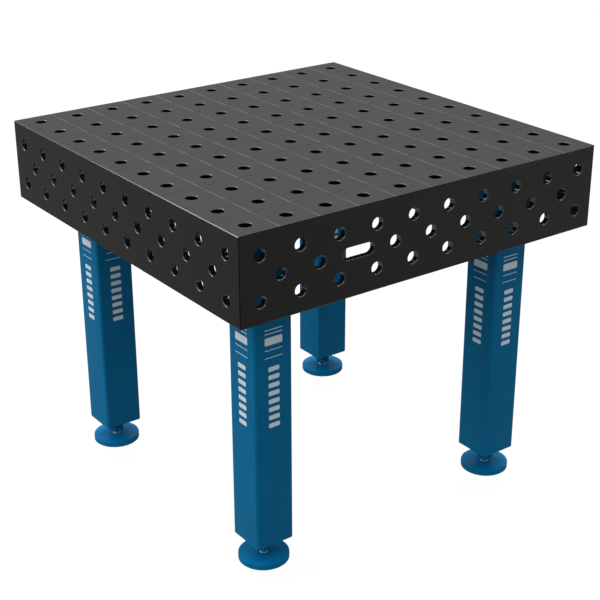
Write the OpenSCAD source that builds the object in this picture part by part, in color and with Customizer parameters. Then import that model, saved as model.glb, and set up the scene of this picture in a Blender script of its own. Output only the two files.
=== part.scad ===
// Welding table: a perforated box top on four bolted-on legs with levelling feet.
// Origin: on the floor, under the middle of the top. X runs left to right,
// Y runs front to back, Z is up. Millimetres.

/* [Table top] */
// Length of the top, left to right
top_l = 1000; // [800:100:1600]
// Width of the top, front to back
top_w = 1000; // [800:100:1200]
// Height of the working face above the floor
table_h = 878; // [840:1:920]
// Height of the box that the top plate and the side plates make
box_h = 200; // [190:1:220]
// Thickness of the top plate and the side plates
plate_t = 15; // [10:1:18]
// Chamfer ground along the outer edges of the box
edge_chamfer = 1.5; // [0.5:0.5:3]

/* [Clamping bores] */
// Diameter of a clamping bore
bore_d = 28; // [16:1:28]
// Distance between neighbouring bores
pitch = 100; // [50:50:100]
// Chamfer at the mouth of each bore
bore_chamfer = 1.5; // [0.5:0.5:2]
// Width of the engraved grid lines
line_w = 1; // [0.5:0.1:2]
// Depth of the engraved grid lines
line_depth = 0.4; // [0.2:0.1:1]
// Length of the hand slot in the front plate
slot_l = 84; // [60:2:100]

/* [Ribs] */
// Thickness of a stiffening rib
rib_t = 10; // [6:1:12]
// Depth of a stiffening rib below the top plate
rib_h = 50; // [40:1:65]
// Clearance on each side of a half-lap slot
rib_gap = 0.2; // [0.1:0.1:0.5]

/* [Legs] */
// Outer width of the square leg tube
leg_w = 100; // [80:1:100]
// Outer corner radius of the leg tube
leg_r = 7.5; // [5:0.5:10]
// Wall thickness of the leg tube
leg_wall = 4; // [3:0.5:5]
// Distance from a leg's axis to the outer faces of the box
leg_inset = 150; // [140:1:160]
// Height of the leg's lower end above the floor
leg_bottom = 61; // [60:1:70]
// Width of the square flange and of the mounting plate above it
flange_w = 160; // [150:1:170]
// Thickness of the flange
flange_t = 10; // [8:1:12]
// Thickness of the mounting plate under the top
mount_t = 15; // [12:1:20]
// Opening through the mounting plate and the flange, under the bore above the leg
leg_opening_d = 60; // [40:5:80]
// Distance between neighbouring leg bolts
bolt_spacing = 130; // [126:1:132]
// Thread diameter of the leg bolts
bolt_d = 12; // [10:1:12]

/* [Levelling feet] */
// Diameter of the foot disc
foot_d = 120; // [80:1:140]
// Thickness of the foot disc
foot_t = 15; // [12:0.5:15]
// Thread diameter of the spindle
thread_d = 24; // [20:1:24]
// Height of the spindle's upper end above the floor
spindle_top = 116; // [112:1:200]
// Width across the flats of the nuts on the spindle
nut_af = 36; // [36:1:38]
// Height of the nut welded under the leg
weld_nut_h = 21.5; // [19:0.5:21.5]
// Height of the lock nut
lock_nut_h = 12; // [10:0.5:12]
// Radial running clearance of the spindle in its nuts and in its foot
run_gap = 0.05; // [0.02:0.01:0.08]

/* [Hidden] */
$fn = 64;

// One row per leg: its name, and on which side of the middle it stands
CORNERS = [
    ["front_left", -1, -1],
    ["front_right", 1, -1],
    ["back_left", -1, 1],
    ["back_right", 1, 1],
];
CORNER_PARTS = [
    "mount_plate", "flange", "leg", "bolts", "bolt_washers", "end_plate",
    "weld_nut", "lock_washer", "lock_nut", "spindle", "foot",
];

// How far a cutter reaches past a face
over = 1;

// Heights of the plates, from the top down
under_top = table_h - plate_t;
box_bottom = table_h - box_h;
mount_bottom = under_top - mount_t;
flange_bottom = mount_bottom - flange_t;

// Rows of bores in a side plate, each at this depth below the working face
row_depths = [pitch / 2, pitch, pitch * 3 / 2];
slot_x = -2 * pitch;

// The ribs stand on the lines between the bores, one in the middle and one on each side
rib_step = 2 * pitch;
long_rib_l = top_l - 2 * plate_t;
cross_rib_l = top_w - 2 * plate_t;

// Leg and flange
leg_x = top_l / 2 - leg_inset;
leg_y = top_w / 2 - leg_inset;
end_plate_t = 10;
flange_r = 8;

// Leg bolts
bolt_af = 18;
bolt_head_h = 7.5;
bolt_grip = 25;
bolt_hole_d = bolt_d + 1.5;
bolt_washer_d = 24;
bolt_washer_t = 2.5;
tapped_gap = 0.05;

// Stack on the spindle, from the leg down
lock_washer_d = 39;
lock_washer_t = 4;
weld_nut_bottom = leg_bottom - weld_nut_h;
lock_washer_bottom = weld_nut_bottom - lock_washer_t;
lock_nut_bottom = lock_washer_bottom - lock_nut_h;
thread_bore_r = thread_d / 2 + run_gap;

// Spindle and foot
spigot_r = 10;
spigot_l = 10;
drive_af = 19;
drive_gap = 0.5;
thread_chamfer = 2;
foot_chamfer_top = 1.5;
foot_chamfer_bottom = 1;

// Colours
steel = [0.34, 0.34, 0.34];
paint = [0.05, 0.33, 0.5];
zinc = [0.62, 0.64, 0.66];
black_oxide = [0.12, 0.12, 0.13];

// ---- shared shapes ----

// Extrudes a profile drawn in X and Z along Y
module along_y(length) {
    rotate([90, 0, 0])
        linear_extrude(height = length, center = true)
            children();
}

// Extrudes a profile drawn in Y and Z along X
module along_x(length) {
    rotate([90, 0, 90])
        linear_extrude(height = length, center = true)
            children();
}

// A square with round corners, made of exact arcs
module round_square(w, r) {
    square([w - 2 * r, w], center = true);
    square([w, w - 2 * r], center = true);
    for (x = [-1, 1], y = [-1, 1])
        translate([x * (w / 2 - r), y * (w / 2 - r)])
            circle(r = r);
}

// Four places on a square
module at_corners(spacing) {
    for (x = [-1, 1], y = [-1, 1])
        translate([x * spacing / 2, y * spacing / 2, 0])
            children();
}

// Cutter for one clamping bore that opens at z = 0 and runs down
module bore_cutter() {
    translate([0, 0, -plate_t - over])
        cylinder(d = bore_d, h = plate_t + 2 * over);
    translate([0, 0, -bore_chamfer])
        cylinder(d1 = bore_d, d2 = bore_d + 2 * bore_chamfer, h = bore_chamfer);
    cylinder(d = bore_d + 2 * bore_chamfer, h = over);
}

// A hexagon nut from z = 0 up, with its corners turned off at both ends
module nut(af, h, hole_r) {
    corner_r = af / sqrt(3);
    bevel = (corner_r - af / 2) * 0.6;
    difference() {
        intersection() {
            cylinder(r = corner_r, h = h, $fn = 6);
            rotate_extrude()
                polygon([
                    [0, 0],
                    [af / 2, 0],
                    [corner_r, bevel],
                    [corner_r, h - bevel],
                    [af / 2, h],
                    [0, h],
                ]);
        }
        translate([0, 0, -over])
            cylinder(r = hole_r, h = h + 2 * over);
    }
}

// A flat ring from z = 0 up
module ring(d, hole_d, h) {
    difference() {
        cylinder(d = d, h = h);
        translate([0, 0, -over])
            cylinder(d = hole_d, h = h + 2 * over);
    }
}

// ---- box ----

// Profile of the top plate, from z = 0 up: mitred edges with half of the ground chamfer
module top_profile(length) {
    half = length / 2;
    e = edge_chamfer;
    polygon([
        [-half + plate_t, 0],
        [half - plate_t, 0],
        [half - e / 2, plate_t - e / 2],
        [half - e, plate_t],
        [-half + e, plate_t],
        [-half + e / 2, plate_t - e / 2],
    ]);
}

module top_plate() {
    color(steel)
        translate([0, 0, under_top])
            difference() {
                intersection() {
                    along_y(top_w) top_profile(top_l);
                    along_x(top_l) top_profile(top_w);
                }
                for (
                    x = [-top_l / 2 + pitch / 2 : pitch : top_l / 2],
                    y = [-top_w / 2 + pitch / 2 : pitch : top_w / 2]
                )
                    translate([x, y, plate_t]) bore_cutter();
                for (x = [-top_l / 2 + pitch : pitch : top_l / 2 - pitch])
                    translate([x - line_w / 2, -top_w / 2 - over, plate_t - line_depth])
                        cube([line_w, top_w + 2 * over, line_depth + over]);
                for (y = [-top_w / 2 + pitch : pitch : top_w / 2 - pitch])
                    translate([-top_l / 2 - over, y - line_w / 2, plate_t - line_depth])
                        cube([top_l + 2 * over, line_w, line_depth + over]);
            }
}

// A mitred side plate that runs along X, with its outer face at y = 0 facing -Y
module side_blank(length) {
    half = length / 2;
    e = edge_chamfer;
    t = plate_t;
    intersection() {
        translate([0, 0, box_bottom])
            linear_extrude(height = box_h)
                polygon([
                    [-half + e, 0],
                    [half - e, 0],
                    [half - e / 2, e / 2],
                    [half - t, t],
                    [-half + t, t],
                    [-half + e / 2, e / 2],
                ]);
        along_x(length)
            translate([0, box_bottom])
                polygon([
                    [0, e],
                    [e, 0],
                    [t, 0],
                    [t, box_h - t],
                    [e / 2, box_h - e / 2],
                    [0, box_h - e],
                ]);
    }
}

// Cutters for the three rows of bores; the middle row stands between the others.
// A place in skip is left out of the middle row.
module side_bores(length, skip = []) {
    for (i = [0 : len(row_depths) - 1])
        let (start = -length / 2 + (i == 1 ? pitch : pitch / 2))
            for (x = [start : pitch : -start])
                if (i != 1 || len(search(x, skip)) == 0)
                    translate([x, 0, table_h - row_depths[i]])
                        rotate([90, 0, 0])
                            bore_cutter();
}

module side_plate(length, skip = []) {
    difference() {
        side_blank(length);
        side_bores(length, skip);
    }
}

// The hand slot takes the place of one bore in the middle row
module hand_slot_cutter() {
    translate([slot_x, plate_t / 2, table_h - row_depths[1]])
        along_y(plate_t + 2 * over)
            union() {
                square([slot_l - bore_d, bore_d], center = true);
                for (x = [-1, 1])
                    translate([x * (slot_l - bore_d) / 2, 0])
                        circle(d = bore_d);
            }
}

module front_plate() {
    color(steel)
        translate([0, -top_w / 2, 0])
            difference() {
                side_plate(top_l, [slot_x]);
                hand_slot_cutter();
            }
}

module back_plate() {
    color(steel)
        rotate([0, 0, 180])
            translate([0, -top_w / 2, 0])
                side_plate(top_l);
}

module left_plate() {
    color(steel)
        rotate([0, 0, -90])
            translate([0, -top_l / 2, 0])
                side_plate(top_w);
}

module right_plate() {
    color(steel)
        rotate([0, 0, 90])
            translate([0, -top_l / 2, 0])
                side_plate(top_w);
}

// ---- ribs, half-lapped where they cross ----

// A rib along X at y = 0, with slots cut up from its lower edge or down from its upper one
module rib(length, slots_low) {
    slot_w = rib_t + 2 * rib_gap;
    half_h = rib_h / 2 + rib_gap;
    difference() {
        translate([-length / 2, -rib_t / 2, under_top - rib_h])
            cube([length, rib_t, rib_h]);
        for (i = [-1 : 1])
            translate([
                i * rib_step - slot_w / 2,
                -rib_t,
                slots_low ? under_top - rib_h - over : under_top - half_h,
            ])
                cube([slot_w, 2 * rib_t, half_h + over]);
    }
}

module long_rib(i) {
    color(steel)
        translate([0, i * rib_step, 0])
            rib(long_rib_l, true);
}

module cross_rib(i) {
    color(steel)
        translate([i * rib_step, 0, 0])
            rotate([0, 0, 90])
                rib(cross_rib_l, false);
}

// ---- leg, drawn with its axis at x = 0, y = 0 ----

// A square plate with four bolt holes and an opening in the middle, from z = 0 up
module leg_plate(thickness, hole_d) {
    linear_extrude(height = thickness)
        difference() {
            round_square(flange_w, flange_r);
            circle(d = leg_opening_d);
            at_corners(bolt_spacing)
                circle(d = hole_d);
        }
}

// Welded under the top plate; its bolt holes are tapped
module mount_plate() {
    color(steel)
        translate([0, 0, mount_bottom])
            leg_plate(mount_t, bolt_d + 2 * tapped_gap);
}

// Welded on top of the leg tube
module flange() {
    color(paint)
        translate([0, 0, flange_bottom])
            leg_plate(flange_t, bolt_hole_d);
}

module leg() {
    color(paint)
        translate([0, 0, leg_bottom])
            linear_extrude(height = flange_bottom - leg_bottom)
                difference() {
                    round_square(leg_w, leg_r);
                    round_square(leg_w - 2 * leg_wall, leg_r - leg_wall);
                }
}

module bolts() {
    color(black_oxide)
        translate([0, 0, flange_bottom - bolt_washer_t])
            at_corners(bolt_spacing) {
                cylinder(d = bolt_d, h = bolt_grip);
                translate([0, 0, -bolt_head_h])
                    cylinder(r = bolt_af / sqrt(3), h = bolt_head_h, $fn = 6);
            }
}

module bolt_washers() {
    color(zinc)
        translate([0, 0, flange_bottom - bolt_washer_t])
            at_corners(bolt_spacing)
                ring(bolt_washer_d, bolt_hole_d, bolt_washer_t);
}

// Closes the lower end of the tube
module end_plate() {
    color(paint)
        translate([0, 0, leg_bottom])
            difference() {
                linear_extrude(height = end_plate_t)
                    round_square(leg_w - 2 * leg_wall, leg_r - leg_wall);
                translate([0, 0, -over])
                    cylinder(d = thread_d + 1, h = end_plate_t + 2 * over);
            }
}

// ---- levelling foot, drawn with its axis at x = 0, y = 0 ----

module weld_nut() {
    color(paint)
        translate([0, 0, weld_nut_bottom])
            nut(nut_af, weld_nut_h, thread_bore_r);
}

module lock_washer() {
    color(zinc)
        translate([0, 0, lock_washer_bottom])
            ring(lock_washer_d, thread_d + 1, lock_washer_t);
}

module lock_nut() {
    color(paint)
        translate([0, 0, lock_nut_bottom])
            nut(nut_af, lock_nut_h, thread_bore_r);
}

// A spigot in the foot, a hexagon to turn it by, and the threaded length
module spindle() {
    color(zinc) {
        translate([0, 0, foot_t - spigot_l])
            cylinder(r = spigot_r, h = spigot_l + drive_gap);
        translate([0, 0, foot_t + drive_gap])
            cylinder(
                r = drive_af / sqrt(3),
                h = lock_nut_bottom - foot_t - drive_gap,
                $fn = 6
            );
        rotate_extrude()
            polygon([
                [0, lock_nut_bottom],
                [thread_d / 2, lock_nut_bottom],
                [thread_d / 2, spindle_top - thread_chamfer],
                [thread_d / 2 - thread_chamfer, spindle_top],
                [0, spindle_top],
            ]);
    }
}

module foot() {
    color(paint)
        difference() {
            rotate_extrude()
                polygon([
                    [0, 0],
                    [foot_d / 2 - foot_chamfer_bottom, 0],
                    [foot_d / 2, foot_chamfer_bottom],
                    [foot_d / 2, foot_t - foot_chamfer_top],
                    [foot_d / 2 - foot_chamfer_top, foot_t],
                    [0, foot_t],
                ]);
            translate([0, 0, foot_t - spigot_l])
                cylinder(r = spigot_r + run_gap, h = spigot_l + over);
        }
}

// ---- assembly ----

top_plate();
front_plate();
back_plate();
left_plate();
right_plate();
long_rib(-1);  // long_rib_front
long_rib(0);  // long_rib_middle
long_rib(1);  // long_rib_back
cross_rib(-1);  // cross_rib_left
cross_rib(0);  // cross_rib_middle
cross_rib(1);  // cross_rib_right
for (c = CORNERS)
    translate([c[1] * leg_x, c[2] * leg_y, 0]) {
        mount_plate();
        flange();
        leg();
        bolts();
        bolt_washers();
        end_plate();
        weld_nut();
        lock_washer();
        lock_nut();
        spindle();
        foot();
    }
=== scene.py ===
import math

import bpy
from mathutils import Matrix, Vector, geometry


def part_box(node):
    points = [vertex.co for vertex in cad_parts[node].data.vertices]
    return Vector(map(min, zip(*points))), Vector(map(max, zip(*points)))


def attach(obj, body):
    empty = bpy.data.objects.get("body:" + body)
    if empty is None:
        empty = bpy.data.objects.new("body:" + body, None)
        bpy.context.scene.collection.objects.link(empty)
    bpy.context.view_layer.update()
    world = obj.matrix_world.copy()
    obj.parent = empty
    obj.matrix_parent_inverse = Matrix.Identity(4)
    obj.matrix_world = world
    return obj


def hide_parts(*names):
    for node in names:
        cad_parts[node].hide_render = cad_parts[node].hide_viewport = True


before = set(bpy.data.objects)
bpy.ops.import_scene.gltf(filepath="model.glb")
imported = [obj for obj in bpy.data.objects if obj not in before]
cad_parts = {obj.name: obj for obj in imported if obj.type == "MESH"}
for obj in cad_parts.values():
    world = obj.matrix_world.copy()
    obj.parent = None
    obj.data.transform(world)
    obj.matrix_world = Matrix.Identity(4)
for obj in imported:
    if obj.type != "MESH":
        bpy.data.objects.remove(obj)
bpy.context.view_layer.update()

# Looks of the welding table. Shapes are worked out in millimetres and turned into
# metres as each mesh is made. X runs left to right, Y front to back, Z up.

MM = 0.001
SIDES = 48  # steps round a bore, a nut or a disc; a multiple of 6 and of 8
CREASE = math.radians(32)

CORNERS = ("front_left", "front_right", "back_left", "back_right")


def extent(node):
    """Lowest and highest corner of a CAD node, in millimetres."""
    low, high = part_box(node)
    return [round(c / MM, 3) for c in low], [round(c / MM, 3) for c in high]


# ---- sizes ----

TOP_LOW, TOP_HIGH = extent("top_plate")
TOP_Z = TOP_HIGH[2]
UNDER_TOP = TOP_LOW[2]
PLATE = TOP_Z - UNDER_TOP
HALF = extent("right_plate")[1][0]
BOX_BOTTOM = extent("front_plate")[0][2]
BOX_H = TOP_Z - BOX_BOTTOM

PITCH = 100
BORE_R = 14
CHAMFER = 1.5
GROOVE_HALF = 0.5
GROOVE_DEPTH = 0.4
CENTRES = range(-int(HALF) + PITCH // 2, int(HALF), PITCH)
SLOT_X = -200
SLOT_L = 84
ROWS = (150, 100, 50)  # heights of the side bores above the box's lower edge

RIB_T = 10
RIB_AT = (-200, 0, 200)
RIB_GAP = 0.2  # play in the half-lap joints

LEG_R = 7.5
LEG_WALL = 4
FLANGE_R = 8
OPENING_R = 30

# M12 bolts that hold the legs
BOLT_AT = 65
BOLT_R = 6
BOLT_AF = 18
BOLT_WASHER_R = 12
BOLT_HOLE_R = 6.75
TAPPED_R = 6.05
SMALL_SIDES = 24

# M24 spindles and their nuts
THREAD_R = 12
THREAD_PITCH = 3
THREAD_ROOT = 10.3
NUT_AF = 36
NUT_BORE_R = 12.05
CLEAR_R = 12.5
SPINDLE_AF = 19
SPIGOT_R = 10
SOCKET_R = 10.05
PLAY = 0.05  # keeps parts that turn on each other from touching

# Lengths of weld stitches, and how thick each kind of bead is
STITCH = 18  # half of a stitch's length
CORNER_STITCHES = (12, 76, 140)  # heights above the box's lower edge
CORNER_STITCH_L = 34
MOUNT_STITCHES = (-42, 42)
RIB_BEAD = 4
PLATE_BEAD = 5
CORNER_BEAD = 6
STRAIGHT_STEP = 1.3
LOOP_STEP = 1.4
DOWN = (0, 0, -1)


# ---- mesh making ----


class Shell:
    """Faces given by their corner points. Equal points become one vertex."""

    def __init__(self):
        self.index = {}
        self.points = []
        self.faces = []
        self.finishes = []

    def vertex(self, p):
        key = (round(p[0], 3) + 0.0, round(p[1], 3) + 0.0, round(p[2], 3) + 0.0)
        if key not in self.index:
            self.index[key] = len(self.points)
            self.points.append(p)
        return self.index[key]

    def face(self, corners, finish=0):
        ids = []
        for p in corners:
            i = self.vertex(p)
            if not ids or (ids[-1] != i and ids[0] != i):
                ids.append(i)
        if len(ids) > 2:
            self.faces.append(ids)
            self.finishes.append(finish)

    def skin(self, low, high, finish):
        """Quads between two rings of points."""
        n = len(low)
        for i in range(n):
            j = (i + 1) % n
            self.face((low[i], low[j], high[j], high[i]), finish)

    def loft(self, rings, finish=0, round_again=False):
        for low, high in zip(rings, rings[1:]):
            self.skin(low, high, finish)
        if round_again:
            self.skin(rings[-1], rings[0], finish)

    def cap(self, rings, up, finish=0):
        """Fills the first ring, leaving the other, convex rings open as holes."""
        points = [p for ring in rings for p in ring]
        edges, owner, start = [], [], 0
        for k, ring in enumerate(rings):
            n = len(ring)
            edges += [(start + i, start + (i + 1) % n) for i in range(n)]
            owner += [k] * n
            start += n
        flat = [Vector((p[0], p[1])) for p in points]
        made = geometry.delaunay_2d_cdt(flat, edges, [], 1, 1e-5, True)
        faces, source = made[2], made[3]
        for f in faces:
            ids = [source[i][0] for i in f]
            owners = {owner[i] for i in ids}
            if len(owners) == 1 and owners != {0}:
                continue
            a, b, c = (points[i] for i in ids)
            middle = (a[0] + b[0] + c[0]) / 3, (a[1] + b[1] + c[1]) / 3
            if owners == {0} and not within(rings[0], *middle):
                continue
            area = (b[0] - a[0]) * (c[1] - a[1]) - (b[1] - a[1]) * (c[0] - a[0])
            if (area > 0) != up:
                ids.reverse()
            self.face([points[i] for i in ids], finish)

    def prism(self, outline, holes, levels, bevel_finish=0):
        """An outline with holes, raised through levels of (height, how far it is drawn in)."""
        walls = [
            [[(x, y, z) for x, y in inset(loop, d)] for z, d in levels]
            for loop in [outline] + holes
        ]
        for rings in walls:
            for k, (low, high) in enumerate(zip(rings, rings[1:])):
                bevel = k in (0, len(rings) - 2)
                self.skin(low, high, bevel_finish if bevel else 0)
        self.cap([rings[-1] for rings in walls], True)
        self.cap([rings[0] for rings in walls], False)


def within(loop, x, y):
    """Whether a point lies inside a closed outline, which may have notches."""
    inside = False
    for a, b in zip(loop, loop[1:] + loop[:1]):
        if (a[1] > y) != (b[1] > y) and x < a[0] + (y - a[1]) * (b[0] - a[0]) / (b[1] - a[1]):
            inside = not inside
    return inside


def inset(loop, d):
    """Moves a loop to its left by d: an outline shrinks, and a hole, which runs clockwise, grows."""
    if not d:
        return list(loop)
    out = []
    n = len(loop)
    for i in range(n):
        a, b, c = loop[i - 1], loop[i], loop[(i + 1) % n]
        u = (b[0] - a[0], b[1] - a[1])
        v = (c[0] - b[0], c[1] - b[1])
        lu, lv = math.hypot(*u), math.hypot(*v)
        nu, nv = (-u[1] / lu, u[0] / lu), (-v[1] / lv, v[0] / lv)
        k = d / (1 + nu[0] * nv[0] + nu[1] * nv[1])
        out.append((b[0] + (nu[0] + nv[0]) * k, b[1] + (nu[1] + nv[1]) * k))
    return out


def round_loop(r, x=0, y=0, n=SIDES):
    return [
        (x + r * math.cos(math.tau * i / n), y + r * math.sin(math.tau * i / n))
        for i in range(n)
    ]


def hole_loop(r, x=0, y=0, n=SIDES):
    return round_loop(r, x, y, n)[::-1]


def box_loop(w, h, r, x=0, y=0, steps=6):
    """A rectangle with round corners, anticlockwise."""
    out = []
    for k, (sx, sy) in enumerate(((1, 1), (-1, 1), (-1, -1), (1, -1))):
        for i in range(steps + 1):
            a = math.pi / 2 * (k + i / steps)
            p = (x + sx * (w / 2 - r) + r * math.cos(a), y + sy * (h / 2 - r) + r * math.sin(a))
            if not out or math.dist(p, out[-1]) > 0.01:
                out.append(p)
    return out if math.dist(out[0], out[-1]) > 0.01 else out[:-1]


def ring(r, z):
    return [(x, y, z) for x, y in round_loop(r)]


def chamfered(low, high, size):
    """Levels of a prism whose edges are drawn in by size at both ends."""
    return (low, size), (low + size, 0), (high - size, 0), (high, size)


def hex_radius(af, i):
    """Distance from a hexagon's middle to its side, at step i of SIDES."""
    return af / 2 / math.cos((math.tau * i / SIDES) % (math.pi / 3) - math.pi / 6)


def hex_ring(af, z, turned_from, towards):
    """A ring on a hexagon's sides, drawn down or up where the corners are turned off."""
    out = []
    for i, (cx, cy) in enumerate(round_loop(1)):
        r = hex_radius(af, i)
        drop = max(0, r - turned_from) * math.tan(math.radians(30))
        out.append((r * cx, r * cy, z + towards * drop))
    return out


def piece(name, shell, finishes, body, replaces=(), place=None):
    place = place or Matrix()
    mesh = bpy.data.meshes.new(name)
    mesh.from_pydata([(place @ Vector(p)) * MM for p in shell.points], [], shell.faces)
    for finish in finishes:
        mesh.materials.append(finish)
    mesh.polygons.foreach_set("material_index", shell.finishes)
    mesh.shade_smooth()
    mesh.set_sharp_from_angle(angle=CREASE)
    made = bpy.data.objects.new(name, mesh)
    bpy.context.scene.collection.objects.link(made)
    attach(made, body)
    if replaces:
        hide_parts(*replaces)


# ---- finishes ----


class Finish:
    """A Principled material with short-hands for its nodes."""

    def __init__(self, name, **constants):
        self.material = bpy.data.materials.new(name)
        self.material.use_nodes = True
        self.tree = self.material.node_tree
        self.shader = self.tree.nodes["Principled BSDF"]
        for key, value in constants.items():
            self.shader.inputs[key.replace("_", " ")].default_value = value
        self.coords = self.tree.nodes.new("ShaderNodeTexCoord").outputs["Object"]

    def node(self, kind, settings=None, **inputs):
        made = self.tree.nodes.new("ShaderNode" + kind)
        for key, value in (settings or {}).items():
            setattr(made, key, value)
        for key, value in inputs.items():
            socket = made.inputs[int(key[1:]) if key[0] == "i" and key[1:].isdigit() else key]
            if isinstance(value, bpy.types.NodeSocket):
                self.tree.links.new(value, socket)
            else:
                socket.default_value = value
        return made

    def noise(self, scale, detail, roughness, stretch=(1, 1, 1)):
        mapped = self.node("Mapping", Vector=self.coords, Scale=stretch)
        place = mapped.outputs[0]
        made = self.node("TexNoise", Vector=place, Scale=scale, Detail=detail, Roughness=roughness)
        return made.outputs["Fac"]

    def remap(self, value, low, high, out_low, out_high):
        made = self.node("MapRange", i0=value, i1=low, i2=high, i3=out_low, i4=out_high)
        return made.outputs[0]

    def math(self, operation, a, b):
        return self.node("Math", {"operation": operation}, i0=a, i1=b).outputs[0]

    def blend(self, factor, a, b):
        made = self.node("Mix", {"data_type": "RGBA"}, i0=factor, i6=a, i7=b)
        return made.outputs[2]

    def scale_colour(self, colour, factor):
        """The colour made lighter or darker by a varying factor."""
        made = self.node("VectorMath", {"operation": "SCALE"}, i0=colour)
        self.tree.links.new(factor, made.inputs["Scale"])
        return made.outputs[0]

    def use(self, socket, value):
        self.tree.links.new(value, self.shader.inputs[socket])

    def bump(self, height, distance, strength):
        made = self.node("Bump", Height=height, Distance=distance, Strength=strength)
        self.use("Normal", made.outputs[0])


def grey(v):
    return (v, v, v, 1)


def steel_finish(name, base, roughness, metallic=0.0, wear=1.0, shine=0.35):
    """Dark nitrided plate: faint clouds, fine grain and handling marks in two directions."""
    f = Finish(name, Metallic=metallic, Specular_IOR_Level=shine)
    clouds = f.noise(3.5, 4, 0.6)
    grain = f.noise(700, 3, 0.6)
    along = f.noise(90, 5, 0.6, (0.06, 4, 4))
    across = f.noise(90, 5, 0.6, (4, 0.06, 4))
    marks = f.math("MAXIMUM", along, across)
    tone = f.math("MULTIPLY", f.remap(clouds, 0.3, 0.7, 0.9, 1.1), f.remap(grain, 0.3, 0.7, 0.9, 1.1))
    tone = f.math("MULTIPLY", tone, f.remap(marks, 0.55, 0.8, 1.0, 1.0 + 0.3 * wear))
    f.use("Base Color", f.scale_colour(base, tone))
    cloudy = f.remap(clouds, 0.3, 0.7, roughness - 0.015, roughness + 0.015)
    f.use("Roughness", f.math("ADD", cloudy, f.remap(marks, 0.55, 0.8, 0.0, -0.03)))
    f.bump(grain, 0.000006, 0.6)
    return f.material


def paint_finish(name, base, roughness, shine):
    """Powder coat: orange peel, slight clouds of tone and a few duller, handled patches."""
    f = Finish(name, Specular_IOR_Level=shine)
    clouds = f.noise(6, 3, 0.5)
    patches = f.noise(23, 5, 0.6)
    peel = f.noise(520, 2, 0.4)
    cloudy = f.remap(clouds, 0.3, 0.7, 0.95, 1.05)
    tone = f.math("MULTIPLY", cloudy, f.remap(patches, 0.35, 0.7, 0.98, 1.03))
    f.use("Base Color", f.scale_colour(base, tone))
    f.use("Roughness", f.remap(patches, 0.35, 0.75, roughness - 0.04, roughness + 0.07))
    f.bump(peel, 0.00006, 0.5)
    return f.material


def plated_finish(name, base, roughness, tint):
    """Bright or black plating on turned steel: rings left by turning, and stains."""
    f = Finish(name, Metallic=1.0)
    stains = f.noise(70, 4, 0.6)
    turning = f.noise(300, 3, 0.6, (1, 1, 12))
    f.use("Base Color", f.blend(f.remap(stains, 0.4, 0.75, 0.0, 0.5), base, tint))
    f.use("Roughness", f.remap(turning, 0.3, 0.7, roughness - 0.06, roughness + 0.08))
    f.bump(turning, 0.00003, 0.5)
    return f.material


def weld_finish(name):
    """Weld metal: dull steel with heat colours and soot along the bead."""
    f = Finish(name, Metallic=0.85)
    heat = f.noise(160, 4, 0.6)
    soot = f.noise(45, 4, 0.7)
    warm = f.blend(f.remap(heat, 0.4, 0.65, 0.0, 1.0), (0.17, 0.16, 0.155, 1), (0.16, 0.12, 0.09, 1))
    f.use("Base Color", f.blend(f.remap(soot, 0.5, 0.75, 0.0, 0.8), warm, (0.05, 0.052, 0.06, 1)))
    f.use("Roughness", f.remap(heat, 0.3, 0.7, 0.35, 0.6))
    f.bump(heat, 0.0001, 0.5)
    return f.material


def mark_finish(name):
    """Light-grey ink, a little thin in places."""
    f = Finish(name, Specular_IOR_Level=0.4)
    worn = f.noise(260, 4, 0.7)
    thin = f.remap(worn, 0.58, 0.72, 0.0, 0.35)
    f.use("Base Color", f.blend(thin, (0.70, 0.80, 0.86, 1), (0.36, 0.50, 0.58, 1)))
    f.use("Roughness", f.remap(worn, 0.3, 0.7, 0.4, 0.55))
    return f.material


STEEL = steel_finish("nitrided_steel_plate", (0.0032, 0.0032, 0.0033), 0.34, shine=0.5)
STEEL_EDGE = steel_finish("nitrided_steel_edge", (0.13, 0.13, 0.134), 0.3, 0.9, wear=0.5)
# Near-black steel that mirrors little: painted shade. It goes on the top plate's bore walls, on the
# chamfers that face the front, stand upright or run along lower edges, and in the grooves along X and
# their crossings.
STEEL_SHADE = steel_finish("nitrided_steel_painted_shade", (0.0025, 0.0025, 0.0026), 0.16, wear=0.5, shine=0.15)
# Bright machined steel for the side plates' bore walls; the top plate's bore walls get the
# painted-shade steel instead.
STEEL_BORE_SIDE = steel_finish("nitrided_steel_side_bore", (0.17, 0.17, 0.173), 0.13, 0.95, wear=0.5)
# Lighter, more mirroring steel for the walls of the grooves along Y: painted highlight.
STEEL_LINE_HIGHLIGHT = steel_finish("engraved_line_painted_highlight", (0.25, 0.25, 0.255), 0.3, 0.9, wear=0.5)
STEEL_RAW = steel_finish("nitrided_steel_inside", (0.012, 0.0115, 0.011), 0.42, shine=0.5)
PAINT = paint_finish("blue_powder_coat", (0.0018, 0.148, 0.320), 0.36, 0.07)
# The feet's paint: glossier than the legs', and a little lighter, which is painted light against the
# shade the table casts on the feet.
PAINT_FOOT_LIGHTENED = paint_finish("blue_gloss_paint_painted_light", (0.0012, 0.158, 0.360), 0.22, 0.035)
ZINC = plated_finish("zinc_plate", (0.70, 0.72, 0.74, 1), 0.2, (0.55, 0.56, 0.54, 1))
ZINC_DULL = plated_finish("dull_zinc_plate", (0.10, 0.11, 0.12, 1), 0.5, (0.055, 0.06, 0.065, 1))
BLACK = plated_finish("black_oxide", (0.035, 0.035, 0.038, 1), 0.38, (0.07, 0.055, 0.045, 1))
WELD = weld_finish("weld_metal")
MARK = mark_finish("marking_ink")


# ---- the box ----

# DARK is the painted-shade steel and LINE the painted-highlight steel; the other finishes are the
# steel's own.
BOX_FINISHES = (STEEL, STEEL_RAW, STEEL_EDGE, STEEL_SHADE, STEEL_LINE_HIGHLIGHT, STEEL_BORE_SIDE)
OUTER, INNER, EDGE, DARK, LINE, BRIGHT = range(len(BOX_FINISHES))


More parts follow.
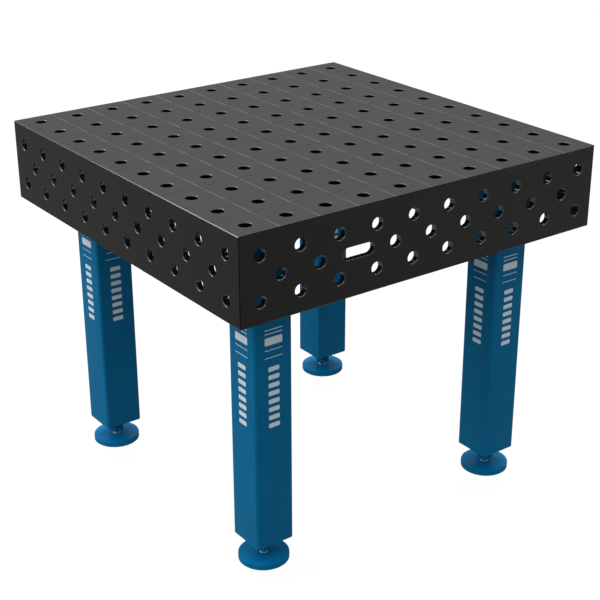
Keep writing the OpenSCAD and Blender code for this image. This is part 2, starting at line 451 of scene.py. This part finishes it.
def bore_rings(x, y, front, back):
    """The wall of a clamping bore from the back of a plate to its chamfered mouth."""
    levels = (
        (back, BORE_R + 0.3),
        (back + 0.3, BORE_R),
        (front - CHAMFER, BORE_R),
        (front, BORE_R + CHAMFER),
    )
    return [[(px, py, z) for px, py in hole_loop(r, x, y)] for z, r in levels]


def bore(shell, x, y, front, back, wall):
    """Adds a bore's wall and chamfer, and gives its rings, the back one first."""
    rings = bore_rings(x, y, front, back)
    shell.loft(rings[:3], wall)
    shell.skin(rings[2], rings[3], EDGE)
    return rings


def top_plate():
    shell = Shell()
    e = CHAMFER
    lines = range(-int(HALF) + PITCH, int(HALF), PITCH)
    stops = sorted([k + d for k in lines for d in (-GROOVE_HALF, 0, GROOVE_HALF)])

    def edge(half, z, valley=None):
        """Points round the plate at one height; valley moves those at the end of a groove."""
        out = []
        for turn in range(4):
            c, s = ((1, 0), (0, 1), (-1, 0), (0, -1))[turn]
            for t in [-half] + stops:
                reach, height = half, z
                if valley and t in lines:
                    reach, height = valley
                out.append((t * c + reach * s, t * s - reach * c, height))
        return out

    low = edge(HALF - PLATE, UNDER_TOP)
    middle = edge(HALF - e / 2, TOP_Z - e / 2)
    valley_reach = HALF - e + GROOVE_DEPTH
    high = edge(HALF - e, TOP_Z, (valley_reach, TOP_Z - GROOVE_DEPTH))
    shell.skin(low, middle, INNER)
    # The upper half of the chamfer along the front edge gets the dark steel, painted shade; along the
    # other three edges it gets the edge steel.
    for i, p in enumerate(middle):
        j = (i + 1) % len(middle)
        at_front = i < len(middle) / 4
        shell.face((p, middle[j], high[j], high[i]), DARK if at_front else EDGE)

    # The bore walls here get the dark steel, painted shade; the side plates' bores get the bright
    # machined steel.
    bores = {(x, y): bore(shell, x, y, TOP_Z, UNDER_TOP, DARK) for x in CENTRES for y in CENTRES}
    shell.cap([low] + [rings[0] for rings in bores.values()], False, INNER)

    def span(c):
        """Where a cell round a bore starts and stops."""
        a = c - PITCH / 2 + GROOVE_HALF if c > CENTRES[0] else -HALF + e
        b = c + PITCH / 2 - GROOVE_HALF if c < CENTRES[-1] else HALF - e
        return a, b

    for (x, y), rings in bores.items():
        (x0, x1), (y0, y1) = span(x), span(y)
        cell = [(x0, y0, TOP_Z), (x1, y0, TOP_Z), (x1, y1, TOP_Z), (x0, y1, TOP_Z)]
        shell.cap([cell, rings[-1]], True, OUTER)

    floor = TOP_Z - GROOVE_DEPTH
    g = GROOVE_HALF
    for k in lines:
        for c in CENTRES:
            a, b = span(c)
            va = -valley_reach if c == CENTRES[0] else a
            vb = valley_reach if c == CENTRES[-1] else b
            # Walls of the grooves along Y get the line steel, painted highlight; walls along X and
            # the crossings get the dark steel, painted shade.
            shell.face(((k - g, a, TOP_Z), (k, va, floor), (k, vb, floor), (k - g, b, TOP_Z)), LINE)
            shell.face(((k, va, floor), (k + g, a, TOP_Z), (k + g, b, TOP_Z), (k, vb, floor)), LINE)
            shell.face(((a, k - g, TOP_Z), (b, k - g, TOP_Z), (vb, k, floor), (va, k, floor)), DARK)
            shell.face(((va, k, floor), (vb, k, floor), (b, k + g, TOP_Z), (a, k + g, TOP_Z)), DARK)
        for m in lines:
            for sx in (-1, 1):
                for sy in (-1, 1):
                    quad = [
                        (k + sx * g, m + sy * g, TOP_Z),
                        (k, m + sy * g, floor),
                        (k, m, floor),
                        (k + sx * g, m, floor),
                    ]
                    shell.face(quad if sx * sy > 0 else quad[::-1], DARK)
    return shell


def side_plate(slot, top_edge):
    """Drawn with its outer face up: X along the plate, Y up the plate, Z outwards."""
    shell = Shell()
    e = CHAMFER
    levels = (
        (0, HALF - PLATE, 0, BOX_H - PLATE),
        (PLATE - e, HALF - e, 0, BOX_H - e),
        (PLATE - e / 2, HALF - e / 2, e / 2, BOX_H - e / 2),
        (PLATE, HALF - e, e, BOX_H - e),
    )
    rings = [
        [(-half, y0, z), (half, y0, z), (half, y1, z), (-half, y1, z)]
        for z, half, y0, y1 in levels
    ]
    shell.skin(rings[0], rings[1], INNER)
    # The chamfers along the lower edge and the two upright ends get the dark steel, painted shade;
    # the top one gets top_edge.
    for low, high in zip(rings[1:], rings[2:]):
        for k in range(4):
            j = (k + 1) % 4
            shell.face((low[k], low[j], high[j], high[k]), top_edge if k == 2 else DARK)
    inner, outer = [rings[0]], [rings[-1]]
    for row, y in enumerate(ROWS):
        start = -HALF + (PITCH if row == 1 else PITCH / 2)
        for k in range(int(round(-2 * start / PITCH)) + 1):
            x = start + k * PITCH
            if slot and row == 1 and x == SLOT_X:
                hole = box_loop(SLOT_L, 2 * BORE_R, BORE_R - 0.001, SLOT_X, y, 16)[::-1]
                walls = [
                    [(px, py, z) for px, py in inset(hole, d)]
                    for z, d in ((0, 0.3), (0.3, 0), (PLATE - 0.8, 0), (PLATE, 0.8))
                ]
                shell.loft(walls[:3], BRIGHT)
                shell.skin(walls[2], walls[3], EDGE)
            else:
                walls = bore(shell, x, y, PLATE, 0, BRIGHT)
            inner.append(walls[0])
            outer.append(walls[-1])
    shell.cap(inner, False, INNER)
    shell.cap(outer, True, OUTER)
    return shell


def facing(along, outwards):
    """Turns a side plate, drawn outer face up, to stand with that face outwards."""
    x, z = Vector(along), Vector(outwards)
    y = z.cross(x)
    m = Matrix((x, y, z)).transposed().to_4x4()
    return Matrix.Translation(z * (HALF - PLATE) + Vector((0, 0, BOX_BOTTOM))) @ m


piece("plate_top", top_plate(), BOX_FINISHES, "table", ["top_plate"])
for side, along, outwards in (
    ("front", (1, 0, 0), (0, -1, 0)),
    ("back", (-1, 0, 0), (0, 1, 0)),
    ("left", (0, -1, 0), (-1, 0, 0)),
    ("right", (0, 1, 0), (1, 0, 0)),
):
    # The front plate's top chamfer gets the dark steel, painted shade; the other plates' top chamfers
    # get the edge steel.
    piece(
        "plate_" + side,
        side_plate(side == "front", DARK if side == "front" else EDGE),
        BOX_FINISHES,
        "table",
        [side + "_plate"],
        facing(along, outwards),
    )


# ---- ribs ----


def rib(length, height, slots_low):
    """Drawn flat: X along the rib, Y up, Z through its thickness."""
    half = length / 2
    reach = height / 2 + RIB_GAP
    outline = []
    if slots_low:
        outline.append((-half, 0))
        for x in RIB_AT:
            a, b = x - RIB_T / 2 - RIB_GAP, x + RIB_T / 2 + RIB_GAP
            outline += [(a, 0), (a, reach), (b, reach), (b, 0)]
        outline += [(half, 0), (half, height), (-half, height)]
    else:
        outline += [(-half, 0), (half, 0), (half, height)]
        for x in reversed(RIB_AT):
            a, b = x - RIB_T / 2 - RIB_GAP, x + RIB_T / 2 + RIB_GAP
            outline += [(b, height), (b, height - reach), (a, height - reach), (a, height)]
        outline.append((-half, height))
    shell = Shell()
    shell.prism(outline, [], chamfered(0, RIB_T, 0.5), bevel_finish=1)
    return shell


def standing(along, through, origin):
    """Turns a part drawn flat so that its X runs along and its Z runs through."""
    x, z = Vector(along), Vector(through)
    m = Matrix((x, z.cross(x), z)).transposed().to_4x4()
    return Matrix.Translation(origin) @ m


RIB_H = UNDER_TOP - extent("long_rib_middle")[0][2]
RIB_BOTTOM = UNDER_TOP - RIB_H
RIB_L = 2 * (HALF - PLATE)
RAW_FINISHES = (STEEL_RAW, STEEL_EDGE)
for word, offset in zip(("front", "middle", "back"), RIB_AT):
    shell = rib(RIB_L, RIB_H, True)
    node = "long_rib_" + word
    place = standing((1, 0, 0), (0, -1, 0), (0, offset + RIB_T / 2, RIB_BOTTOM))
    piece("rib_long_" + word, shell, RAW_FINISHES, "table", [node], place)
for word, offset in zip(("left", "middle", "right"), RIB_AT):
    shell = rib(RIB_L, RIB_H, False)
    node = "cross_rib_" + word
    place = standing((0, 1, 0), (1, 0, 0), (offset - RIB_T / 2, 0, RIB_BOTTOM))
    piece("rib_cross_" + word, shell, RAW_FINISHES, "table", [node], place)


# ---- welds ----


def weld(shell, path, size, closed=False, bulge=0.2):
    """A rippled bead along path: (point, one way along the metal, the other way, outwards)."""
    n = len(path)
    arcs = 6
    hug = 0.35
    rows = []
    for i, (p, u, v, out) in enumerate(path):
        before = path[i - 1][0] if i or closed else path[0][0]
        after = path[(i + 1) % n][0] if i < n - 1 or closed else path[-1][0]
        run = (after - before).normalized()
        end = 1.0
        if not closed:
            end = min(1.0, 0.45 + 0.55 * math.sin(min(1, min(i, n - 1 - i) / 3) * math.pi / 2))
        ripple = 1 + 0.07 * (i % 3 - 1)
        s = size * end * ripple
        row = [p - (u + v) * hug * 0.5 - out * hug]
        for k in range(arcs):
            q = k / (arcs - 1)
            swell = math.sin(math.pi * q)
            lead = run * (0.35 * size * swell)
            row.append(p + u * s * (1 - q) + v * s * q + out * bulge * s * swell + lead)
        rows.append([tuple(c) for c in row])
    if closed:
        shell.loft(rows, round_again=True)
    else:
        shell.loft(rows)
        shell.face(rows[0][::-1])
        shell.face(rows[-1])


def straight(a, b, u, v):
    """A path for a fillet from a to b in the corner that u and v make."""
    a, b, u, v = Vector(a), Vector(b), Vector(u), Vector(v)
    if (b - a).cross(u).dot(v) < 0:
        u, v = v, u
    n = max(4, int((b - a).length / STRAIGHT_STEP))
    out = (u + v).normalized()
    return [(a.lerp(b, i / n), u, v, out) for i in range(n + 1)]


def around(loop, z, v):
    """A path round a loop, for a fillet between its wall and a level face."""
    points = []
    n = len(loop)
    for i in range(n):
        a, b = Vector(loop[i]), Vector(loop[(i + 1) % n])
        parts = max(1, round((b - a).length / LOOP_STEP))
        points += [a.lerp(b, k / parts) for k in range(parts)]
    path = []
    m = len(points)
    v = Vector(v)
    for i, p in enumerate(points):
        run = points[(i + 1) % m] - points[i - 1]
        u = Vector((run.y, -run.x, 0)).normalized()
        pair = (u, v) if Vector((run.x, run.y, 0)).cross(u).dot(v) > 0 else (v, u)
        path.append((Vector((p.x, p.y, z)), pair[0], pair[1], (u + v).normalized()))
    return path


def seam(a, b, u, v, size):
    """One bare weld of the box, from a to b in the corner that u and v make."""
    weld(seams, straight(a, b, u, v), size)


seams = Shell()
inside = HALF - PLATE
for n, c in enumerate(CENTRES):
    start, stop = c - STITCH, c + STITCH
    for side in (-1, 1):
        # along the inner corners of the box, under the top plate
        wall = side * inside
        seam((wall, start, UNDER_TOP), (wall, stop, UNDER_TOP), (-side, 0, 0), DOWN, PLATE_BEAD)
        seam((start, wall, UNDER_TOP), (stop, wall, UNDER_TOP), (0, -side, 0), DOWN, PLATE_BEAD)
        # along the ribs, on alternate sides
        if (n % 2 == 1) == (side > 0):
            for r in RIB_AT:
                face = r + side * RIB_T / 2
                seam((start, face, UNDER_TOP), (stop, face, UNDER_TOP), (0, side, 0), DOWN, RIB_BEAD)
                seam((face, start, UNDER_TOP), (face, stop, UNDER_TOP), (side, 0, 0), DOWN, RIB_BEAD)
# up the box's four upright corners
for sx in (-1, 1):
    for sy in (-1, 1):
        for z in CORNER_STITCHES:
            low = (sx * inside, sy * inside, BOX_BOTTOM + z)
            high = (sx * inside, sy * inside, BOX_BOTTOM + z + CORNER_STITCH_L)
            seam(low, high, (-sx, 0, 0), (0, -sy, 0), CORNER_BEAD)
# where the ribs' ends meet the side plates
low, high = RIB_BOTTOM + 6, UNDER_TOP - 14
for r in RIB_AT:
    for end in (-1, 1):
        wall = end * inside
        for side in (-1, 1):
            face = r + side * RIB_T / 2
            seam((wall, face, low), (wall, face, high), (-end, 0, 0), (0, side, 0), RIB_BEAD)
            seam((face, wall, low), (face, wall, high), (0, -end, 0), (side, 0, 0), RIB_BEAD)


# ---- legs and feet ----


def nut(low, high):
    """A nut for the spindle, its corners turned off and its hole countersunk."""
    shell = Shell()
    flat = NUT_AF / 2 * 0.96
    sink = 1.2
    shell.loft(
        [
            ring(NUT_BORE_R + sink, low),
            ring(flat, low),
            hex_ring(NUT_AF, low, flat, 1),
            hex_ring(NUT_AF, high, flat, -1),
            ring(flat, high),
            ring(NUT_BORE_R + sink, high),
            ring(NUT_BORE_R, high - sink),
            ring(NUT_BORE_R, low + sink),
        ],
        round_again=True,
    )
    return shell


def washer(shell, outer_r, hole_r, low, high, x=0, y=0):
    b = min(0.5, (high - low) / 5)
    shell.prism(round_loop(outer_r, x, y), [hole_loop(hole_r, x, y)], chamfered(low, high, b))


def disc(low, high, r, socket_floor):
    """The foot: a turned disc with a rounded rim and a countersunk socket."""
    shell = Shell()
    rim, bottom, sink = 1.8, 1.0, 0.8
    arcs = 5
    rings = [ring(r - bottom, low), ring(r, low + bottom), ring(r, high - rim)]
    for i in range(1, arcs + 1):
        a = math.pi / 2 * i / arcs
        rings.append(ring(r - rim + rim * math.cos(a), high - rim + rim * math.sin(a)))
    rings += [
        ring(r - rim - 0.5, high),
        ring(SOCKET_R + sink, high),
        ring(SOCKET_R, high - sink),
        ring(SOCKET_R, socket_floor),
    ]
    shell.loft(rings)
    shell.face(rings[0][::-1])
    shell.face(rings[-1])
    return shell


def spindle(low, shoulder, neck, high):
    """Spigot, hexagon and a right-hand thread, from the foot up."""
    shell = Shell()
    flat = SPINDLE_AF / 2 * 0.97
    rings = [
        ring(SPIGOT_R - 1, low),
        ring(SPIGOT_R, low + 1),
        ring(SPIGOT_R, shoulder - 0.3),
        ring(SPIGOT_R + 0.6, shoulder),
        ring(SPIGOT_R + 0.9, shoulder + 0.4),
        ring(SPIGOT_R + 0.7, shoulder + 0.8),
        ring(flat, shoulder + 2.0),
        hex_ring(SPINDLE_AF, shoulder + 2.0, flat, 1),
        hex_ring(SPINDLE_AF, neck - 0.6, flat, -1),
        ring(flat, neck - 0.6),
        ring(flat, neck),
        ring(THREAD_ROOT, neck + 0.4),
    ]
    shell.loft(rings)
    shell.face(rings[0][::-1])
    start, stop = neck + 0.6, high - 4.5
    # the thread's profile: how far through the pitch, and 0 for root or 1 for crest
    steps = ((0.0, 0), (0.25, 0), (0.5625, 1), (0.6875, 1))
    turns = range(int((stop - start) / THREAD_PITCH))
    rows = [(start + (t + part) * THREAD_PITCH, crest) for t in turns for part, crest in steps]

    def point(i, row):
        """Point i of a row, one turn of the helix higher for each time round."""
        z = rows[row][0] + THREAD_PITCH * i / SIDES
        from_ends = min(z - start, stop - z) / THREAD_PITCH
        run_in = min(1, max(0, from_ends - 1))
        r = THREAD_ROOT + (THREAD_R - THREAD_ROOT) * rows[row][1] * run_in
        a = math.tau * i / SIDES
        return (r * math.cos(a), r * math.sin(a), z)

    last = len(rows) - 1
    per_turn = len(steps)
    side = SIDES - 1  # the last point of a turn, which meets the next turn's first
    for row in range(last):
        for i in range(side):
            low_pair = point(i, row), point(i + 1, row)
            shell.face((*low_pair, point(i + 1, row + 1), point(i, row + 1)))
        if row + 1 + per_turn <= last:
            next_turn = point(0, row + per_turn), point(0, row + 1 + per_turn)
            shell.face((point(side, row), *next_turn, point(side, row + 1)))
    # the plain ends, where the helix starts and stops
    foot_ring, head_ring = rings[-1], ring(THREAD_ROOT, stop + 1.5)
    for i in range(side):
        shell.face((foot_ring[i], foot_ring[i + 1], point(i + 1, 0), point(i, 0)))
        shell.face((point(i, last), point(i + 1, last), head_ring[i + 1], head_ring[i]))
    first_step = [point(0, row) for row in range(per_turn + 1)]
    shell.face([foot_ring[side], foot_ring[0]] + first_step + [point(side, 0)])
    last_step = [point(side, row) for row in range(last, last - per_turn - 1, -1)]
    shell.face([point(0, last), head_ring[0], head_ring[side]] + last_step)
    tip = [head_ring, ring(THREAD_ROOT, high - 1), ring(THREAD_ROOT - 1, high)]
    shell.loft(tip)
    shell.face(tip[-1])
    return shell


def mark_bars():
    """Plain bars on a leg's face: X across the leg, Y up it from the first bar's lower end."""
    shell = Shell()
    levels = ((-0.05, 0), (0.03, 0), (0.08, 0.05))
    # width, height, corner radius and height above the first bar's lower end
    bars = [(46, 2.0, 0.9, 238), (46, 2.0, 0.9, 229), (46, 18, 3, 211)]
    bars += [(46, 1.6, 0.7, 190), (46, 1.6, 0.7, 172)]
    bars += [(29, 11, 3, 6 + 19.7 * k) for k in range(8)]
    for w, h, r, y in bars:
        shell.prism(box_loop(w, h, r, 0, y, 5), [], levels)
    return shell


def bolts_and_washers(centres, head_z, plate_z, washer_z, tip_z):
    """The bolts of one leg, heads down, and the washers under their heads."""
    bolts, washers = Shell(), Shell()
    flat = BOLT_AF / 2 * 0.95
    for cx, cy in centres:
        one = Shell()
        rings = [
            ring(flat * 0.86, head_z + 0.25),
            ring(flat * 0.9, head_z),
            ring(flat, head_z),
            hex_ring(BOLT_AF, head_z, flat, 1),
            hex_ring(BOLT_AF, washer_z, BOLT_AF, 0),
            ring(BOLT_R, washer_z),
            ring(BOLT_R, tip_z - 1),
            ring(BOLT_R - 1, tip_z),
        ]
        one.loft(rings)
        one.face(rings[0][::-1])
        one.face(rings[-1])
        for face in one.faces:
            corners = [one.points[i] for i in face]
            bolts.face([(px + cx, py + cy, pz) for px, py, pz in corners])
        washer(washers, BOLT_WASHER_R, BOLT_HOLE_R, washer_z, plate_z, cx, cy)
    return bolts, washers


MARKS_BELOW_TOP = 512  # from the table's top down to the lowest bar
BOLTS_AT = [(sx * BOLT_AT, sy * BOLT_AT) for sx in (-1, 1) for sy in (-1, 1)]
for corner in CORNERS:
    low, high = extent(corner + "_leg")
    x, y = (low[0] + high[0]) / 2, (low[1] + high[1]) / 2
    place = Matrix.Translation((x, y, 0))
    half = (high[0] - low[0]) / 2
    width = 2 * half
    inner_width = width - 2 * LEG_WALL

    # welded under the top
    mount_low = extent(corner + "_mount_plate")[0]
    mount_w = 2 * (x - mount_low[0])
    plate_loop = box_loop(mount_w, mount_w, FLANGE_R)
    bevel = 0.8
    shell = Shell()
    holes = [hole_loop(TAPPED_R, cx, cy, SMALL_SIDES) for cx, cy in BOLTS_AT]
    levels = chamfered(mount_low[2], UNDER_TOP, bevel)
    shell.prism(plate_loop, [hole_loop(OPENING_R)] + holes, levels, bevel_finish=1)
    name, node = "mounting_plate_" + corner, corner + "_mount_plate"
    piece(name, shell, RAW_FINISHES, "table", [node], place)
    for side in (-1, 1):
        for c in MOUNT_STITCHES:
            face = side * mount_w / 2
            start, stop = c - STITCH, c + STITCH
            low_end, high_end = (x + face, y + start, UNDER_TOP), (x + face, y + stop, UNDER_TOP)
            seam(low_end, high_end, (side, 0, 0), DOWN, PLATE_BEAD)
            low_end, high_end = (x + start, y + face, UNDER_TOP), (x + stop, y + face, UNDER_TOP)
            seam(low_end, high_end, (0, side, 0), DOWN, PLATE_BEAD)

    # flange and tube
    flange_low, flange_high = extent(corner + "_flange")
    shell = Shell()
    holes = [hole_loop(BOLT_HOLE_R, cx, cy, SMALL_SIDES) for cx, cy in BOLTS_AT]
    levels = chamfered(flange_low[2], flange_high[2], bevel)
    shell.prism(plate_loop, [hole_loop(OPENING_R)] + holes, levels)
    piece("leg_flange_" + corner, shell, (PAINT,), "table", [corner + "_flange"], place)

    shell = Shell()
    outline = box_loop(width, width, LEG_R, steps=8)
    inner_outline = box_loop(inner_width, inner_width, LEG_R - LEG_WALL)
    shell.prism(outline, [inner_outline[::-1]], chamfered(low[2], high[2], 0.5))
    piece("leg_tube_" + corner, shell, (PAINT,), "table", [corner + "_leg"], place)

    # bolts
    head_low, head_high = extent(corner + "_bolts")
    washer_low, washer_high = extent(corner + "_bolt_washers")
    bolts, washers = bolts_and_washers(
        BOLTS_AT, head_low[2], washer_high[2], washer_low[2], head_high[2]
    )
    name, node = "leg_bolts_" + corner, corner + "_bolts"
    piece(name, bolts, (BLACK,), "table", [node], place)
    name, node = "leg_bolt_washers_" + corner, corner + "_bolt_washers"
    piece(name, washers, (ZINC,), "table", [node], place)

    # end plate and the nut welded under it
    end_low, end_high = extent(corner + "_end_plate")
    shell = Shell()
    shell.prism(inner_outline, [hole_loop(CLEAR_R)], chamfered(end_low[2], end_high[2], 0.4))
    name, node = "leg_end_plate_" + corner, corner + "_end_plate"
    piece(name, shell, (PAINT,), "table", [node], place)
    nut_low, nut_high = extent(corner + "_weld_nut")
    shell = nut(nut_low[2], nut_high[2])
    piece("leg_nut_" + corner, shell, (PAINT,), "table", [corner + "_weld_nut"], place)

    # painted welds: tube to flange, nut to end plate, and end plate to tube
    shell = Shell()
    nut_loop = round_loop(NUT_AF / 2 + 0.6, n=36)
    end_loop = inset(inner_outline, 0.4)
    weld(shell, around(outline, high[2], DOWN), 5, closed=True)
    weld(shell, around(nut_loop, nut_high[2], DOWN), 3, closed=True)
    weld(shell, around(end_loop, low[2] + 0.4, DOWN), 1.6, closed=True, bulge=0.1)
    piece("leg_welds_" + corner, shell, (PAINT,), "table", place=place)

    # marks on the faces that look left and to the front
    marks = Shell()
    bars = mark_bars()
    lowest = Vector((0, 0, TOP_Z - MARKS_BELOW_TOP))
    for along, outwards in (((1, 0, 0), (0, -1, 0)), ((0, -1, 0), (-1, 0, 0))):
        m = standing(along, outwards, Vector(outwards) * half + lowest)
        for face in bars.faces:
            marks.face([tuple(m @ Vector(bars.points[i])) for i in face])
    piece("leg_marks_" + corner, marks, (MARK,), "table", place=place)

    # the foot and what turns on its spindle
    foot_low, foot_high = extent(corner + "_foot")
    spin_low, spin_high = extent(corner + "_spindle")
    lock_low, lock_high = extent(corner + "_lock_nut")
    ring_low, ring_high = extent(corner + "_lock_washer")
    shell = disc(foot_low[2], foot_high[2], (foot_high[0] - foot_low[0]) / 2, spin_low[2])
    body = corner + "_foot"
    piece("foot_disc_" + corner, shell, (PAINT_FOOT_LIGHTENED,), body, [body], place)
    shell = spindle(spin_low[2] + PLAY, foot_high[2] + 0.5, lock_low[2], spin_high[2])
    body = corner + "_spindle"
    piece("foot_spindle_" + corner, shell, (ZINC,), body, [body], place)
    shell = nut(lock_low[2], lock_high[2])
    body = corner + "_lock_nut"
    piece("foot_lock_nut_" + corner, shell, (PAINT,), body, [body], place)
    shell = Shell()
    ring_r = (ring_high[0] - ring_low[0]) / 2
    washer(shell, ring_r, CLEAR_R, ring_low[2] + PLAY, ring_high[2] - PLAY)
    body = corner + "_lock_washer"
    piece("foot_lock_washer_" + corner, shell, (ZINC_DULL,), body, [body], place)

piece("box_welds", seams, (WELD,), "table")


# ---- floor, light and camera ----


def map_range(tree, value, low, high, out_low, out_high):
    made = tree.nodes.new("ShaderNodeMapRange")
    tree.links.new(value, made.inputs[0])
    for k, limit in enumerate((low, high, out_low, out_high)):
        made.inputs[k + 1].default_value = limit
    return made.outputs[0]


def area_light(name, place, aim, size, energy, mirrored=False):
    data = bpy.data.lights.new(name, "AREA")
    data.shape = "RECTANGLE"
    data.size, data.size_y = size
    data.energy = energy
    made = bpy.data.objects.new(name, data)
    made.location = place
    made.rotation_euler = (Vector(aim) - Vector(place)).to_track_quat("-Z", "Y").to_euler()
    made.visible_glossy = mirrored
    bpy.context.scene.collection.objects.link(made)


def seen_or_not(tree, seen, unseen):
    """One shader for what the eye sees directly, and another for the light it gives back."""
    path = tree.nodes.new("ShaderNodeLightPath")
    mix = tree.nodes.new("ShaderNodeMixShader")
    tree.links.new(path.outputs["Is Camera Ray"], mix.inputs[0])
    tree.links.new(unseen.outputs[0], mix.inputs[1])
    tree.links.new(seen.outputs[0], mix.inputs[2])
    return mix.outputs[0]


# What the eye sees directly is white. What the steel mirrors is darker towards the horizon,
# and darker in front of the table than behind it.
SKY_STOPS = ((0.0, 0.26), (0.22, 0.30), (0.29, 0.36), (0.37, 0.55), (0.5, 1.2), (1.0, 1.6))
world = bpy.data.worlds.new("studio")
world.use_nodes = True
tree = world.node_tree
tree.nodes.clear()
white = tree.nodes.new("ShaderNodeBackground")
white.inputs["Color"].default_value = grey(1)
towards = tree.nodes.new("ShaderNodeTexCoord").outputs["Generated"]
parts = tree.nodes.new("ShaderNodeSeparateXYZ")
tree.links.new(towards, parts.inputs[0])
sky = tree.nodes.new("ShaderNodeValToRGB")
tree.links.new(parts.outputs["Z"], sky.inputs[0])
while len(sky.color_ramp.elements) < len(SKY_STOPS):
    sky.color_ramp.elements.new(0.5)
for element, (height, value) in zip(sky.color_ramp.elements, SKY_STOPS):
    element.position = height
    element.color = grey(value)
behind = tree.nodes.new("ShaderNodeVectorMath")
behind.operation = "DOT_PRODUCT"
tree.links.new(towards, behind.inputs[0])
behind.inputs[1].default_value = (-0.35, 0.94, 0.0)
lit = map_range(tree, behind.outputs["Value"], -0.5, 0.4, 0.45, 1.0)
dim = tree.nodes.new("ShaderNodeBackground")
tree.links.new(sky.outputs[0], dim.inputs["Color"])
tree.links.new(lit, dim.inputs["Strength"])
output = tree.nodes.new("ShaderNodeOutputWorld")
tree.links.new(seen_or_not(tree, white, dim), output.inputs["Surface"])
bpy.context.scene.world = world

# The floor lies as low as a foot screwed all the way out, so that it never hides one.
floor_mesh = bpy.data.meshes.new("floor")
FLOOR_REACH, FLOOR_Z = 30, -0.045
outline = [(FLOOR_REACH * sx, FLOOR_REACH * sy) for sx, sy in ((-1, -1), (1, -1), (1, 1), (-1, 1))]
floor_mesh.from_pydata([(px, py, FLOOR_Z) for px, py in outline], [], [(0, 1, 2, 3)])
floor = bpy.data.objects.new("floor", floor_mesh)
bpy.context.scene.collection.objects.link(floor)
pale = bpy.data.materials.new("pale_floor")
pale.use_nodes = True
tree = pale.node_tree
tree.nodes.clear()
matt = tree.nodes.new("ShaderNodeBsdfDiffuse")
matt.inputs["Color"].default_value = grey(0.04)
glow = tree.nodes.new("ShaderNodeEmission")
glow.inputs["Color"].default_value = grey(1)
glow.inputs["Strength"].default_value = 0.975
both = tree.nodes.new("ShaderNodeAddShader")
tree.links.new(matt.outputs[0], both.inputs[0])
tree.links.new(glow.outputs[0], both.inputs[1])
# What the steel mirrors of the floor is a grey that gets a little lighter to the right.
dull = tree.nodes.new("ShaderNodeEmission")
dull.inputs["Color"].default_value = grey(1)
on_floor = tree.nodes.new("ShaderNodeNewGeometry")
parts = tree.nodes.new("ShaderNodeSeparateXYZ")
tree.links.new(on_floor.outputs["Position"], parts.inputs[0])
rising = map_range(tree, parts.outputs["X"], 0.3, 2.3, 0.27, 0.37)
tree.links.new(rising, dull.inputs["Strength"])
# It is clear when looked at from below, so that the underside can be seen.
below = tree.nodes.new("ShaderNodeMixShader")
tree.links.new(on_floor.outputs["Backfacing"], below.inputs[0])
tree.links.new(seen_or_not(tree, both, dull), below.inputs[1])
tree.links.new(tree.nodes.new("ShaderNodeBsdfTransparent").outputs[0], below.inputs[2])
output = tree.nodes.new("ShaderNodeOutputMaterial")
tree.links.new(below.outputs[0], output.inputs["Surface"])
floor_mesh.materials.append(pale)

area_light("overhead", (0.5, 1.0, 3.4), (0.1, 0.1, 0.8), (3.0, 3.0), 160)
area_light("behind", (-2.3, 2.6, 3.1), (-0.3, 0.0, 0.8), (1.2, 1.0), 19, mirrored=True)
area_light("over_the_eye", (-1.6, -2.9, 2.9), (0, 0, 0.5), (0.6, 0.6), 3, mirrored=True)
area_light("right", (3.2, -1.9, 3.3), (0, 0, 0.7), (0.5, 0.5), 6, mirrored=True)
area_light("left", (-3.4, 0.6, 1.7), (0, 0, 0.5), (2.0, 2.0), 36)
area_light("front", (0.8, -3.6, 1.6), (0, 0, 0.5), (2.2, 1.6), 13)

# The camera stands where the photo's did. Right and ahead are its own directions.
camera_data = bpy.data.cameras.new("camera")
camera_data.sensor_width = 36
camera_data.lens = 81.2
camera_data.clip_end = 100
camera = bpy.data.objects.new("camera", camera_data)
right = Vector((0.80710, -0.59041, -0.00292))
ahead = Vector((0.53922, 0.73913, -0.40365))
turned = Matrix((right, right.cross(ahead), -ahead)).transposed().to_4x4()
camera.matrix_world = Matrix.Translation((-1.8440, -2.5444, 1.8236)) @ turned
bpy.context.scene.collection.objects.link(camera)
bpy.context.scene.camera = camera
bpy.context.scene.view_settings.view_transform = "Standard"
